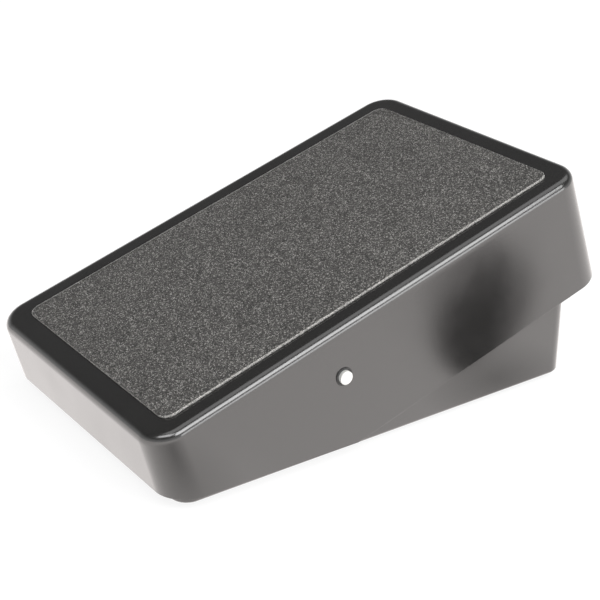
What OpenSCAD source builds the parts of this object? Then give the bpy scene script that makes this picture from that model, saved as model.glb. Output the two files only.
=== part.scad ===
// Heavy-duty foot switch: a drawn treadle rocks on a cross pin over a pressed tray.
// Inside, a coil spring lifts the treadle and a striker works a roller-lever snap switch.
// Frame: X across, Y from the low heel end to the high toe end, Z up, feet standing on z = 0.

/* [Treadle] */
// Width of the treadle across its flat top
treadle_w = 140; // [128:1:150]
// Length of the treadle along its slope
treadle_len = 226.5; // [215:0.5:240]
// Slope of the treadle at rest, in degrees
treadle_slope = 16.8; // [16:0.1:18.5]
// Height of the sharp front edge above the underside of the tray
nose_h = 32.2; // [31:0.1:34.5]
// Depth of the skirt at the toe, square to the top
skirt_depth = 55; // [52:0.5:58]
// Height of the skirt's lower edge above the underside of the tray
skirt_lift = 3.6; // [2.6:0.1:4.6]
// Radius of the upright corners at the top
corner_r = 13; // [9:0.5:16]
// Radius from the top into the skirt
brow_r = 4; // [3:0.1:6]
// Draft of the skirt, in degrees
draft = 2.2; // [1.5:0.1:2.5]
// Sheet thickness of the treadle
treadle_t = 1.5; // [1.2:0.1:1.8]
// Travel of the treadle from rest to its stop, in degrees
travel = 10; // [8:0.5:10.5]

/* [Tread pad] */
// Margin beyond each end of the pad
pad_end = 11.5; // [8:0.5:15]
// Margin beside the pad, on average
pad_side = 10.7; // [8:0.1:15]
// Distance of the pad's middle line to the right of the treadle's
pad_shift = 1.3; // [-2:0.1:2]
// Radius of the pad's corners
pad_corner_r = 5; // [3:0.5:10]
// Thickness of the pad
pad_t = 0.9; // [0.6:0.1:1.5]

/* [Tray] */
// Gap between each side of the tray and the skirt
tray_gap = 0.3; // [0.2:0.05:1]
// Distance of the tray's front wall behind the treadle's front edge
tray_inset = 12; // [11:0.5:16]
// Length of the tray
tray_l = 204.6; // [200:0.1:208]
// Sheet thickness of the tray
tray_t = 1.5; // [1.2:0.1:1.8]
// Radius of the tray's upright corners
tray_corner_r = 8; // [6:0.5:12]
// Outer radius of the bend round the tray's floor
tray_bend_r = 1.8; // [1.6:0.1:3]
// Width of the flanges folded in at the front and rear rims
rim_w = 14; // [12:0.5:18]

/* [Stops] */
// Thickness of the rubber stops
stop_t = 3; // [2:0.1:4]
// Length of each rubber stop across the tray
stop_w = 26; // [18:1:30]
// Width of each rubber stop along the tray
stop_l = 9; // [7:0.5:10]
// Distance of each stop's middle from the tray's side
stop_side = 34.2; // [32.2:0.2:38]

/* [Hinge] */
// Diameter of the hinge pin
pin_d = 6; // [5:0.1:7]
// Distance of the pin behind the treadle's front edge
pin_y = 88.5; // [86:0.5:92]
// Height of the pin above the underside of the tray
pin_z = 36.1; // [34.6:0.1:37.6]
// Length of pin that stands proud of the skirt
pin_proud = 2; // [1:0.1:3]
// Chamfer on the pin's ends
pin_chamfer = 0.5; // [0.3:0.1:0.8]
// Diameter of the retaining grooves in the pin
groove_d = 4.6; // [4:0.1:4.8]
// Thickness of the retaining clips
clip_t = 0.7; // [0.5:0.1:1]
// Outer diameter of the retaining clips
clip_d = 11; // [9:0.5:13]
// Wall of the nylon bush round the pin
bush_wall = 1; // [0.8:0.1:1.5]
// Diameter of the bush flange
bush_flange_d = 11; // [10.5:0.5:13]

/* [Return spring] */
// Distance of the spring behind the pin
spring_y = 68; // [66:1:76]
// Outer diameter of the spring
spring_d = 20; // [18:0.5:24]
// Wire diameter
wire_d = 2; // [1.6:0.1:2.4]
// Number of turns, end turns included
spring_turns = 7; // [6:1:8]
// Height of the seat above the tray's floor
seat_h = 16; // [12:1:20]
// Thickness of the cap under the treadle, on the spring's axis
cap_h = 9; // [8:0.5:12]

/* [Switch] */
// Place of the switch across the tray
switch_x = -30; // [-36:1:-26]
// Distance from the pin to the lever's hinge, along the slope
lever_base = 12; // [11.5:0.1:12.5]
// Distance from the lever's hinge to its roller, along the slope
lever_reach = 22.6; // [21.6:0.1:24]
// Depth of the roller below the lever's hinge, square to the slope
lever_dip = 0.8; // [0.5:0.1:1]
// Diameter of the roller
roller_d = 6; // [5:0.1:6.4]
// Width of the roller
roller_w = 6; // [5:0.1:7]
// Diameter of the lever's pins
lever_pin_d = 2; // [1.6:0.1:2.4]
// Length of the switch case
case_l = 49; // [46:1:54]
// Height of the switch case
case_h = 22; // [20:0.5:23]
// Width of the switch case with its cover
case_w = 17.5; // [16:0.5:20]
// Thickness of the cover on the case
cover_t = 2.2; // [1.5:0.1:3]
// Distance from the lever's hinge to the plunger
plunger_y = 9; // [8:0.1:10]
// Diameter of the plunger
plunger_d = 3.5; // [3:0.1:4]
// Distance between the case's mounting holes
case_pitch = 25.4; // [24:0.1:27]
// Thickness of the switch bracket and the striker
bracket_t = 2; // [1.5:0.1:2.5]
// Width of the bracket's foot
bracket_foot = 19; // [18:0.5:22]
// Width of the striker
striker_w = 20; // [16:1:22]

/* [Fasteners] */
// Thread diameter of the screws
screw_d = 4; // [3.5:0.1:4.2]
// Clearance round a screw in its hole
screw_clear = 0.2; // [0.1:0.05:0.4]
// Thread diameter of the terminal screws
terminal_d = 3; // [2.5:0.1:3.2]

/* [Feet and cable inlet] */
// Height of the rubber feet
foot_h = 3; // [2.8:0.1:6]
// Diameter of the rubber feet
foot_d = 18; // [14:0.5:22]
// Distance of the feet from the tray's sides
foot_side = 18.2; // [16.2:0.2:22]
// Distance of the feet from the tray's front and rear walls
foot_inset = 20; // [18:1:26]
// Bore of the cable grommet
grommet_bore = 7; // [5:0.5:8]
// Height of the grommet's centre above the underside of the tray
grommet_z = 10.8; // [10.6:0.1:11.5]

/* [Hidden] */
$fn = 96;

// Clearances
run_fit = 0.05;   // radial, round anything that turns or slides
seat_fit = 0.05;  // radial, round anything that is pushed in
soft_gap = 0.3;   // between a rubber stop and the sheet it will meet
side_play = 0.15; // beside anything that turns
touch_gap = 0.05; // between a striker, a lever and what they press

// Directions across and along the tray, by name
LEFT = -1;
RIGHT = 1;
FRONT = 0;
REAR = 1;

reach = 600; // longer than the whole part, for cutting tools

// Treadle outline, measured from its sharp front edge and the underside of the tray
front_y = brow_r * ((1 - sin(draft)) / cos(draft) * cos(treadle_slope) + sin(treadle_slope) - 1);
rear_y = (treadle_len + skirt_depth * tan(draft)) * cos(treadle_slope) + skirt_depth * sin(treadle_slope);
skirt_t = treadle_t / cos(draft);        // wall of the skirt, measured level
skirt_in = skirt_t - treadle_t * tan(draft); // inset of the inner form at its own top
inner_r = brow_r - treadle_t;
treadle_half = treadle_w / 2 - corner_r;     // from the middle to the axes of the upright corners
treadle_span = treadle_len - 2 * corner_r;   // between the front and rear axes
lap = 0.0003;                                // a drafted wall starts this far inside its brow

// The treadle's top and underside as distances from the pin's axis, square to the slope
top_n = (nose_h + pin_y * tan(treadle_slope) - pin_z) * cos(treadle_slope);
under_n = top_n - treadle_t;

// Tray
tray_w = treadle_w - 2 * (treadle_t + tray_gap);
tray_back = tray_inset + tray_l;
tray_bend_in = max(tray_bend_r - tray_t, 0.1);
tray_half = tray_w / 2 - tray_corner_r;
tray_span = tray_l - 2 * tray_corner_r;
stop_x = tray_w / 2 - stop_side;
foot_x = tray_w / 2 - foot_side;
rim_n = under_n - stop_t - soft_gap;      // rim of the tray, below the treadle's underside
pressed_slope = treadle_slope - travel;
stop_edge = tray_t + 2;                   // from the outside of the tray's wall to a stop
stop_corner_r = 2;

// Hinge
skirt_x = treadle_w / 2 + top_n * tan(draft); // skirt's outside at the pin
pin_half = skirt_x + pin_proud;
bush_d = pin_d + 2 * bush_wall;
clip_x = tray_w / 2 - tray_t - side_play;     // outer face of a retaining clip
flange_x = treadle_w / 2 + (top_n - bush_flange_d / 2) * tan(draft) - skirt_t;
bush_proud = 0.35;

// Spring
coil_r = (spring_d - wire_d) / 2;
spigot_r = coil_r - wire_d / 2 - 0.6;        // spigots on the seat and the cap, inside the coil
spigot_h = 5;
spigot_chamfer = 1;
seat_r = spring_d / 2 + 1.5;                  // seat and cap, where they meet the coil
seat_flange_w = 3.5;
seat_flange_t = 3;
seat_screw_short = 3;                         // from the screw's tip to the coil's seat
seat_top = tray_t + seat_h;
cap_tilt = travel / 2;                        // the cap is square to the spring at mid travel
cap_z = (under_n + spring_y * sin(treadle_slope)) / cos(treadle_slope) - cap_h + pin_z;
spring_h = cap_z - seat_top - 2 * touch_gap;

// Lever: the flat striker stays on the roller when the hinge, the roller and the ratio obey
// lever_ratio = (base + reach) / reach and hinge_n = (lever_ratio - 1)^2 * dip
lever_ratio = (lever_base + lever_reach) / lever_reach;
hinge_n = pow(lever_ratio - 1, 2) * lever_dip;
roller_n = hinge_n - lever_dip;
striker_n = roller_n + roller_d / 2 + touch_gap;
lever_y = lever_base * cos(treadle_slope) - hinge_n * sin(treadle_slope);
lever_z = lever_base * sin(treadle_slope) + hinge_n * cos(treadle_slope);
lever_len = norm([lever_reach, lever_dip]);
lever_angle = treadle_slope - atan2(lever_dip, lever_reach);
lever_end_angle = lever_angle - lever_ratio * travel;
lever_t = 1;
lever_drop = roller_d / 2 + 0.5;              // from the line of the pins to the strip
lever_tail = 2.4;                             // strip behind the roller's axis
strip_low = -lever_drop - lever_t;            // underside of the strip
ear_r = lever_pin_d / 2 + 1.4;                // rings of the ears round the hinge
tip_r = ear_r - 0.5;                          // rings of the ears round the roller's pin
strip_start = ear_r + 1.6;                    // from the hinge to the strip's near end
web_h = 1.4;                                  // edge folded up along the strip
pin_head = 0.5;                               // pin that stands beyond the ears
ear_x = roller_w / 2 + side_play;             // inside of the lever's ears
lug_gap = 0.2;

// Switch case, from the hinge pin's axis
case_front = lever_y - ear_r - 2;
case_top = lever_z - lever_drop - lever_t - 0.4
  + min(0, (lever_len + lever_tail) * sin(lever_end_angle));
case_bottom = case_top - case_h;
case_hole_edge = 6;                           // from the case's bottom to its mounting holes
case_hole_y = case_front + (case_l - case_pitch) / 2;
case_hole_z = case_bottom + case_hole_edge;
body_w = case_w - cover_t;
plunger_top = lever_z + plunger_y * tan(lever_angle)
  - (lever_drop + lever_t + plunger_d / 2) / cos(lever_angle) + plunger_d / 2 - 2 * touch_gap;
plunger_len = 8;
plunger_room = 3;
terminal_w = 8;
terminal_l = 5;
terminal_h = 6.5;
terminal_edge = 6;                            // from the case's ends to the outer terminals
terminal_pitch = (case_l - 2 * terminal_edge - terminal_l) / 2;
terminal_screw_z = terminal_h / 2;
floor_z = tray_t - pin_z;                     // top of the tray's floor, from the pin's axis

// Bracket
bend_in = 1;                                  // inner radius of the brackets' bends
bracket_y = case_front + 5;
bracket_l = 40;
bracket_hole_x = 12;
bracket_rim = 7;                              // above the upper screws
bracket_edge = 8;                             // from the bracket's ends to its floor holes
bracket_holes_y = [bracket_edge, bracket_l - bracket_edge];

// Striker, along the slope from the pin
striker_ahead = 7;                            // face of the striker before and behind the roller
striker_behind = 9.5;
striker_front = lever_base + lever_reach - striker_ahead;
striker_back = lever_base + lever_reach + striker_behind;
striker_top_l = 22;
leg_lap = 1;                                  // the lower bend's leg runs on over the upper one's
stud_y = striker_back + 9;
stud_x = 5.5;
stud_l = 10;

// Fasteners
head_d = 1.9 * screw_d;
head_h = 0.55 * screw_d;
nut_af = 1.75 * screw_d;
nut_h = 0.8 * screw_d;
slot_w = 0.8;
hole_r = screw_d / 2 + screw_clear;
screw_tip = 1.5;                              // thread that shows beyond a nut

// Feet, grommet and earth
foot_neck_r = 3;
foot_bulb_r = 4.3;
foot_bulb_h = 5;
foot_tip_r = 2;
foot_lip = 0.4;
foot_chamfer = 1;
grommet_flange_r = 7.9;
grommet_neck_r = 6;
grommet_flange_t = 2;
grommet_chamfer = 1;
earth_x = tray_w / 2 - 24.2;
earth_y = tray_back - 34;
earth_thread = 4;                             // thread that shows beyond the earth nut
washer_r = 4.5;
washer_t = 0.8;

// ---- Places ----

// From the treadle's sharp front edge, on the underside of the tray
module at_nose() translate([0, -(front_y + rear_y) / 2, foot_h]) children();

// From the sharp front edge, with Y up the slope and Z square to the treadle's top
module on_treadle() at_nose() translate([0, 0, nose_h]) rotate([treadle_slope, 0, 0]) children();

// From the middle of the hinge pin
module at_pin() at_nose() translate([0, pin_y, pin_z]) children();

// From the middle of the hinge pin, with Y up a slope
module up_slope(slope) at_pin() rotate([slope, 0, 0]) children();

module at_switch() at_pin() translate([switch_x, 0, 0]) children();

module at_lever() at_switch() translate([0, lever_y, lever_z]) rotate([lever_angle, 0, 0]) children();

module at_spring() at_pin() translate([0, spring_y, 0]) children();

module at_bracket() at_switch() translate([case_w / 2, bracket_y, floor_z]) children();

// Distance up a slope from the pin to a level place, at a height n above the pin's axis
function up(y, n, slope) = (y - pin_y + n * sin(slope)) / cos(slope);

// ---- Shared shapes ----

// Section through a wall of a drawn form, out from the axis of its corners: flat top, round brow,
// wall with draft
module wall_profile(r, depth, brow, slope) {
  centre = r - brow * (1 - sin(slope)) / cos(slope);
  inside = slope > 0 ? lap : 0;
  polygon([
    [0, 0], [centre, 0], [centre, -brow],
    [centre + (brow - inside) * cos(slope), (brow - inside) * sin(slope) - brow],
    [r + depth * tan(slope) - inside / cos(slope), -depth], [0, -depth]
  ]);
  translate([centre, -brow]) circle(r = brow);
}

// A drawn form: its closed face is on z = 0, and the axes of its corners are at x = -half and half,
// y = 0 and span. Each wall stands r outside the line of the axes.
module drawn_form(half, span, r, depth, brow, slope) {
  translate([-half, 0, -depth]) cube([2 * half, span, depth]);
  for (side = [0, 1]) mirror([side, 0, 0]) {
    translate([half, span, 0]) rotate([90, 0, 0])
      linear_extrude(span) wall_profile(r, depth, brow, slope);
    translate([half, span, 0]) rotate_extrude(angle = 90) wall_profile(r, depth, brow, slope);
    translate([half, 0, 0]) mirror([0, 1, 0])
      rotate_extrude(angle = 90) wall_profile(r, depth, brow, slope);
  }
  translate([-half, span, 0]) rotate([90, 0, 90])
    linear_extrude(2 * half) wall_profile(r, depth, brow, slope);
  mirror([0, 1, 0]) translate([-half, 0, 0]) rotate([90, 0, 90])
    linear_extrude(2 * half) wall_profile(r, depth, brow, slope);
}

module rounded_plate(w, l, r, t) linear_extrude(t) {
  translate([-w / 2, r]) square([w, l - 2 * r]);
  translate([r - w / 2, 0]) square([w - 2 * r, l]);
  for (x = [r - w / 2, w / 2 - r], y = [r, l - r]) translate([x, y]) circle(r = r);
}

// A rod along X, from x0 to x1
module rod_x(r, x0, x1) translate([x0, 0, 0]) rotate([0, 90, 0]) cylinder(r = r, h = x1 - x0);

// A slotted pan-head screw: its head sits below z = 0 and its thread points up
module pan_screw(d, len, head, thick) {
  difference() {
    translate([0, 0, -thick]) cylinder(d1 = head * 0.86, d2 = head, h = thick);
    translate([-head, -slot_w / 2, -thick * 1.5]) cube([2 * head, slot_w, thick]);
  }
  cylinder(d = d, h = len);
}

module hex_nut(bore) difference() {
  cylinder(d = nut_af / cos(30), h = nut_h, $fn = 6);
  translate([0, 0, -1]) cylinder(r = bore, h = nut_h + 2);
}

// A strip bent to a right angle: the bend's outside corner is at the origin
module bent_profile(leg, foot, t) {
  outer = bend_in + t;
  translate([0, outer]) square([t, leg - outer]);
  translate([outer, 0]) square([foot - outer, t]);
  intersection() {
    square([outer, outer]);
    translate([outer, outer]) difference() {
      circle(r = outer);
      circle(r = bend_in);
    }
  }
}

// ---- Tray and feet ----

module rim_plane(slope) up_slope(slope) translate([-reach / 2, -reach / 2, rim_n]) children();

// A flange folded in at the rim, cut from a sheet that lies on one of the two rim planes
module rim_flange(slope, from_y) intersection() {
  at_nose() translate([tray_corner_r + 1 - tray_w / 2, from_y, 0])
    cube([tray_w - 2 * tray_corner_r - 2, rim_w, reach]);
  rim_plane(slope) translate([0, 0, -tray_t]) cube([reach, reach, tray_t]);
}

function foot_spot(side, end) =
  [side * foot_x, end == FRONT ? tray_inset + foot_inset : tray_back - foot_inset, 0];

module floor_holes() {
  for (side = [LEFT, RIGHT], end = [FRONT, REAR])
    at_nose() translate(foot_spot(side, end)) translate([0, 0, -1]) cylinder(r = foot_neck_r, h = tray_t + 2);
  at_bracket() for (y = bracket_holes_y)
    translate([bracket_hole_x, y, -tray_t - 1]) cylinder(r = hole_r, h = tray_t + 2);
  at_nose() translate([0, pin_y + spring_y, -1]) cylinder(r = hole_r, h = tray_t + 2);
  at_nose() translate([earth_x, earth_y, -1]) cylinder(r = hole_r, h = tray_t + 2);
}

module base_tray() color([0.12, 0.12, 0.12]) {
  difference() {
    at_nose() translate([0, tray_inset + tray_corner_r, 0]) mirror([0, 0, 1]) difference() {
      drawn_form(tray_half, tray_span, tray_corner_r, reach / 4, tray_bend_r, 0);
      translate([0, 0, -tray_t])
        drawn_form(tray_half, tray_span, tray_corner_r - tray_t, reach / 4, tray_bend_in, 0);
    }
    rim_plane(treadle_slope) cube(reach);
    rim_plane(pressed_slope) cube(reach);
    at_pin() rod_x(pin_d / 2 + seat_fit, -tray_w, tray_w);
    at_nose() translate([0, tray_back + 1, grommet_z]) rotate([90, 0, 0])
      cylinder(r = grommet_neck_r, h = tray_t + 2);
    floor_holes();
  }
  rim_flange(treadle_slope, tray_inset + tray_t / 2);
  rim_flange(pressed_slope, tray_back - tray_t / 2 - rim_w);
}

// A push-in rubber foot with its bulb inside the tray
module foot(side, end) color([0.05, 0.05, 0.05]) at_nose() translate(foot_spot(side, end))
  rotate_extrude() polygon([
    [0, -foot_h], [foot_d / 2 - foot_chamfer, -foot_h], [foot_d / 2, foot_chamfer - foot_h],
    [foot_d / 2, 0], [foot_neck_r - seat_fit, 0], [foot_neck_r - seat_fit, tray_t],
    [foot_bulb_r, tray_t + foot_lip], [foot_tip_r, tray_t + foot_bulb_h], [0, tray_t + foot_bulb_h]
  ]);

// ---- Stops ----

module stop_block(slope, from_y, side) color([0.06, 0.06, 0.06]) up_slope(slope)
  translate([side * stop_x, up(from_y, rim_n, slope), rim_n])
    rounded_plate(stop_w, stop_l, stop_corner_r, stop_t);

module rest_pad(side) stop_block(treadle_slope, tray_inset + stop_edge, side);

module travel_stop(side) stop_block(pressed_slope, tray_back - stop_edge - stop_l, side);

// ---- Hinge ----

module hinge_pin() color([0.75, 0.75, 0.72]) at_pin() difference() {
  rotate([0, 90, 0]) rotate_extrude() polygon([
    [0, -pin_half], [pin_d / 2 - pin_chamfer, -pin_half], [pin_d / 2, pin_chamfer - pin_half],
    [pin_d / 2, pin_half - pin_chamfer], [pin_d / 2 - pin_chamfer, pin_half], [0, pin_half]
  ]);
  for (side = [LEFT, RIGHT]) difference() {
    rod_x(pin_d, side * (clip_x - clip_t / 2) - clip_t / 2, side * (clip_x - clip_t / 2) + clip_t / 2);
    rod_x(groove_d / 2, -pin_half, pin_half);
  }
}

// An open retaining ring in the pin's groove, against the inside of the tray's wall
module pin_clip(side) color([0.3, 0.3, 0.32]) at_pin()
  translate([side * (clip_x - clip_t / 2) - clip_t / 2 + touch_gap / 2, 0, 0]) rotate([90, 0, 90])
    linear_extrude(clip_t - touch_gap) difference() {
      circle(d = clip_d);
      circle(d = groove_d + 2 * seat_fit);
      translate([-groove_d * 0.42, 0]) square([groove_d * 0.84, clip_d]);
      for (a = [150, 30, 270]) rotate(a) translate([clip_d * 0.36, 0]) circle(d = clip_d * 0.14);
    }

module hinge_bush(side) color([0.04, 0.04, 0.04]) at_pin() mirror([side == LEFT ? 1 : 0, 0, 0]) difference() {
  union() {
    rod_x(bush_flange_d / 2, tray_w / 2 + side_play, flange_x);
    rod_x(bush_d / 2, tray_w / 2 + side_play, skirt_x + bush_proud);
  }
  rod_x(pin_d / 2 + run_fit, 0, reach);
}

// ---- Treadle ----

module treadle() color([0.1, 0.1, 0.1]) difference() {
  on_treadle() translate([0, corner_r, 0]) difference() {
    drawn_form(treadle_half, treadle_span, corner_r, skirt_depth, brow_r, draft);
    translate([0, 0, -treadle_t])
      drawn_form(treadle_half, treadle_span, corner_r - skirt_in, skirt_depth, inner_r, draft);
  }
  at_nose() translate([-reach / 2, -reach / 2, skirt_lift - reach]) cube(reach);
  at_pin() rod_x(bush_d / 2 + seat_fit, -reach / 2, reach / 2);
}

module tread_pad() color([0.33, 0.33, 0.33]) on_treadle() translate([pad_shift, pad_end, 0])
  rounded_plate(treadle_w - 2 * pad_side, treadle_len - 2 * pad_end, pad_corner_r, pad_t);

// ---- Return spring ----

module spring_seat() color([0.8, 0.8, 0.76]) at_nose() translate([0, pin_y + spring_y, tray_t])
  difference() {
    rotate_extrude() polygon([
      [0, 0], [seat_r + seat_flange_w, 0], [seat_r + seat_flange_w, seat_flange_t],
      [seat_r, seat_flange_t + seat_flange_w / 2], [seat_r, seat_h], [spigot_r, seat_h],
      [spigot_r, seat_h + spigot_h - spigot_chamfer],
      [spigot_r - spigot_chamfer, seat_h + spigot_h], [0, seat_h + spigot_h]
    ]);
    translate([0, 0, -1]) cylinder(r = screw_d / 2 + seat_fit, h = seat_h);
  }

module seat_screw() color([0.7, 0.7, 0.68]) at_nose() translate([0, pin_y + spring_y, 0])
  pan_screw(screw_d, tray_t + seat_h - seat_screw_short, head_d, head_h);

// A wedge-backed cap that fits the treadle's underside and faces the spring
module spring_cap() color([0.8, 0.8, 0.76]) intersection() {
  at_spring() translate([0, 0, cap_z - pin_z]) rotate([cap_tilt, 0, 0]) union() {
    cylinder(r = seat_r, h = 3 * cap_h);
    translate([0, 0, spigot_chamfer - spigot_h]) cylinder(r = spigot_r, h = spigot_h);
    translate([0, 0, -spigot_h])
      cylinder(r1 = spigot_r - spigot_chamfer, r2 = spigot_r, h = spigot_chamfer);
  }
  up_slope(treadle_slope) translate([-spring_d, spring_y - spring_d, under_n - 4 * cap_h])
    cube([2 * spring_d, 3 * spring_d, 4 * cap_h]);
}

// Height of the wire's centre after a number of turns: closed end turns, open middle
end_pitch = wire_d * 1.04;
mid_pitch = (spring_h - wire_d - 2 * end_pitch) / (spring_turns - 2);
function wire_z(turn) = wire_d / 2
  + end_pitch * min(turn, 1)
  + mid_pitch * min(max(turn - 1, 0), spring_turns - 2)
  + end_pitch * max(turn - spring_turns + 1, 0);

wire_steps = 16; // rings of wire in a turn
wire_sides = 6;
wire_rings = spring_turns * wire_steps;

// A point on the wire: ring i, side j. The top end leans with the cap.
function wire_point(i, j) =
  let (
    a = 360 * i / wire_steps, b = 360 * j / wire_sides,
    r = coil_r + wire_d / 2 * cos(b), y = r * sin(a),
    z = wire_z(i / wire_steps) + wire_d / 2 * sin(b)
  ) [r * cos(a), y, z + y * tan(cap_tilt) * z / spring_h];

module return_spring() color([0.6, 0.6, 0.6]) at_nose() translate([0, pin_y + spring_y, seat_top + touch_gap])
  polyhedron(
    [for (i = [0:wire_rings], j = [0:wire_sides - 1]) wire_point(i, j)],
    concat(
      [[for (j = [0:wire_sides - 1]) j]],
      [for (i = [0:wire_rings - 1], j = [0:wire_sides - 1]) [
        i * wire_sides + j, (i + 1) * wire_sides + j,
        (i + 1) * wire_sides + (j + 1) % wire_sides, i * wire_sides + (j + 1) % wire_sides
      ]],
      [[for (j = [wire_sides - 1:-1:0]) wire_rings * wire_sides + j]]
    ),
    convexity = 10
  );

// ---- Switch ----

module case_screw_spots() at_switch() for (i = [0, 1])
  translate([0, case_hole_y + i * case_pitch, case_hole_z]) children();

module switch_case() color([0.45, 0.1, 0.08]) difference() {
  at_switch() {
    translate([cover_t - case_w / 2, case_front, case_bottom]) cube([body_w, case_l, case_h]);
    translate([lug_gap - ear_x, lever_y - ear_r, case_top - 1])
      cube([2 * (ear_x - lug_gap), 2 * ear_r, lever_z - case_top + 1]);
    translate([0, lever_y, lever_z]) rod_x(ear_r, lug_gap - ear_x, ear_x - lug_gap);
  }
  at_switch() translate([0, lever_y, lever_z]) rod_x(lever_pin_d / 2 + seat_fit, -case_w, case_w);
  at_switch() translate([0, lever_y + plunger_y, plunger_top - plunger_len - plunger_room])
    cylinder(r = plunger_d / 2 + run_fit, h = reach / 4);
  case_screw_spots() rod_x(hole_r, -case_w, case_w);
}

module switch_cover() color([0.1, 0.1, 0.1]) difference() {
  at_switch() translate([-case_w / 2, case_front, case_bottom]) cube([cover_t, case_l, case_h]);
  case_screw_spots() rod_x(hole_r, -case_w, case_w);
}

module switch_screws() color([0.7, 0.7, 0.68]) case_screw_spots()
  translate([-case_w / 2, 0, 0]) rotate([0, 90, 0])
    pan_screw(screw_d, case_w + bracket_t + nut_h + screw_tip, head_d, head_h);

module switch_nuts() color([0.7, 0.7, 0.68]) case_screw_spots()
  translate([case_w / 2 + bracket_t, 0, 0]) rotate([0, 90, 0]) hex_nut(screw_d / 2 + seat_fit);

// Three brass blocks under the case, each with a hole for its screw
module terminal_spots() at_switch() for (i = [0:2])
  translate([cover_t / 2, case_front + terminal_edge + i * terminal_pitch, case_bottom - terminal_h])
    children();

module switch_terminals() color([0.75, 0.6, 0.25]) terminal_spots() difference() {
  translate([-terminal_w / 2, 0, 0]) cube([terminal_w, terminal_l, terminal_h]);
  translate([0, -1, terminal_screw_z]) rotate([-90, 0, 0])
    cylinder(d = terminal_d + 2 * seat_fit, h = terminal_l + 2);
}

module terminal_screws() color([0.7, 0.7, 0.68]) terminal_spots()
  translate([0, 0, terminal_screw_z]) rotate([-90, 0, 0])
    pan_screw(terminal_d, terminal_l, 1.8 * terminal_d, 0.5 * terminal_d);

module lever_pin() color([0.7, 0.7, 0.68]) at_switch() translate([0, lever_y, lever_z])
  rod_x(lever_pin_d / 2, -ear_x - lever_t - pin_head, ear_x + lever_t + pin_head);

module switch_plunger() color([0.85, 0.8, 0.6]) at_switch() translate([0, lever_y + plunger_y, plunger_top]) {
  translate([0, 0, -plunger_d / 2]) sphere(d = plunger_d);
  translate([0, 0, -plunger_len]) cylinder(d = plunger_d, h = plunger_len - plunger_d / 2);
}

// One ear of the lever, seen from the side: a ring round each pin and a web down to the strip
module ear_profile() difference() {
  union() {
    circle(r = ear_r);
    translate([lever_len, 0]) circle(r = tip_r);
    polygon([
      [-ear_r * cos(45), -ear_r * sin(45)], [strip_start, strip_low],
      [lever_len + lever_tail, strip_low], [lever_len + lever_tail, -lever_drop],
      [lever_len + tip_r, 0], [lever_len - tip_r, 0], [lever_len - 2 * tip_r, strip_low + web_h],
      [strip_start + ear_r, strip_low + web_h], [ear_r * cos(45), ear_r * sin(45)]
    ]);
  }
  circle(d = lever_pin_d + 2 * run_fit);
  translate([lever_len, 0]) circle(d = lever_pin_d + 2 * seat_fit);
}

module switch_lever() color([0.75, 0.75, 0.75]) at_lever() {
  for (side = [LEFT, RIGHT]) translate([side * (ear_x + lever_t / 2) - lever_t / 2, 0, 0])
    rotate([90, 0, 90]) linear_extrude(lever_t) ear_profile();
  translate([-ear_x - lever_t / 2, strip_start, strip_low])
    cube([2 * ear_x + lever_t, lever_len + lever_tail - strip_start, lever_t]);
}

module roller_pin() color([0.7, 0.7, 0.68]) at_lever() translate([0, lever_len, 0])
  rod_x(lever_pin_d / 2, -ear_x - lever_t - pin_head, ear_x + lever_t + pin_head);

module lever_roller() color([0.3, 0.3, 0.3]) at_lever() translate([0, lever_len, 0]) difference() {
  rod_x(roller_d / 2, -roller_w / 2, roller_w / 2);
  rod_x(lever_pin_d / 2 + run_fit, -roller_w, roller_w);
}

// ---- Switch bracket and striker ----

module switch_bracket() color([0.65, 0.65, 0.6]) difference() {
  at_bracket() translate([0, bracket_l, 0]) rotate([90, 0, 0])
    linear_extrude(bracket_l) bent_profile(case_hole_z - floor_z + bracket_rim, bracket_foot, bracket_t);
  at_bracket() for (y = bracket_holes_y)
    translate([bracket_hole_x, y, -1]) cylinder(r = hole_r, h = bracket_t + 2);
  case_screw_spots() rod_x(hole_r, 0, case_w);
}

module bracket_screws() color([0.7, 0.7, 0.68]) at_bracket() for (y = bracket_holes_y)
  translate([bracket_hole_x, y, -tray_t])
    pan_screw(screw_d, tray_t + bracket_t + nut_h + screw_tip, head_d, head_h);

module bracket_nuts() color([0.7, 0.7, 0.68]) at_bracket() for (y = bracket_holes_y)
  translate([bracket_hole_x, y, bracket_t]) hex_nut(screw_d / 2 + seat_fit);

module on_striker() up_slope(treadle_slope) translate([switch_x, 0, 0]) children();

module stud_spots() on_striker() for (side = [LEFT, RIGHT])
  translate([side * stud_x, stud_y, under_n]) children();

// A strip bent twice: it hangs from the treadle and carries a flat face over the roller
module striker_bracket() color([0.65, 0.65, 0.6]) difference() {
  on_striker() {
    drop = under_n - striker_n;
    translate([-striker_w / 2, striker_back, striker_n]) rotate([90, 0, 90])
      linear_extrude(striker_w) mirror([1, 0])
        bent_profile(drop / 2 + leg_lap, striker_back - striker_front, bracket_t);
    translate([-striker_w / 2, striker_back - bracket_t, under_n]) rotate([90, 0, 90])
      linear_extrude(striker_w) mirror([0, 1]) bent_profile(drop / 2, striker_top_l, bracket_t);
  }
  stud_spots() translate([0, 0, -bracket_t - 1]) cylinder(r = hole_r, h = bracket_t + 2);
}

module striker_studs() color([0.7, 0.7, 0.68]) stud_spots()
  translate([0, 0, -stud_l]) cylinder(d = screw_d, h = stud_l);

module striker_nuts() color([0.7, 0.7, 0.68]) stud_spots()
  translate([0, 0, -bracket_t - nut_h]) hex_nut(screw_d / 2 + seat_fit);

// ---- Cable inlet and earth ----

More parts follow.
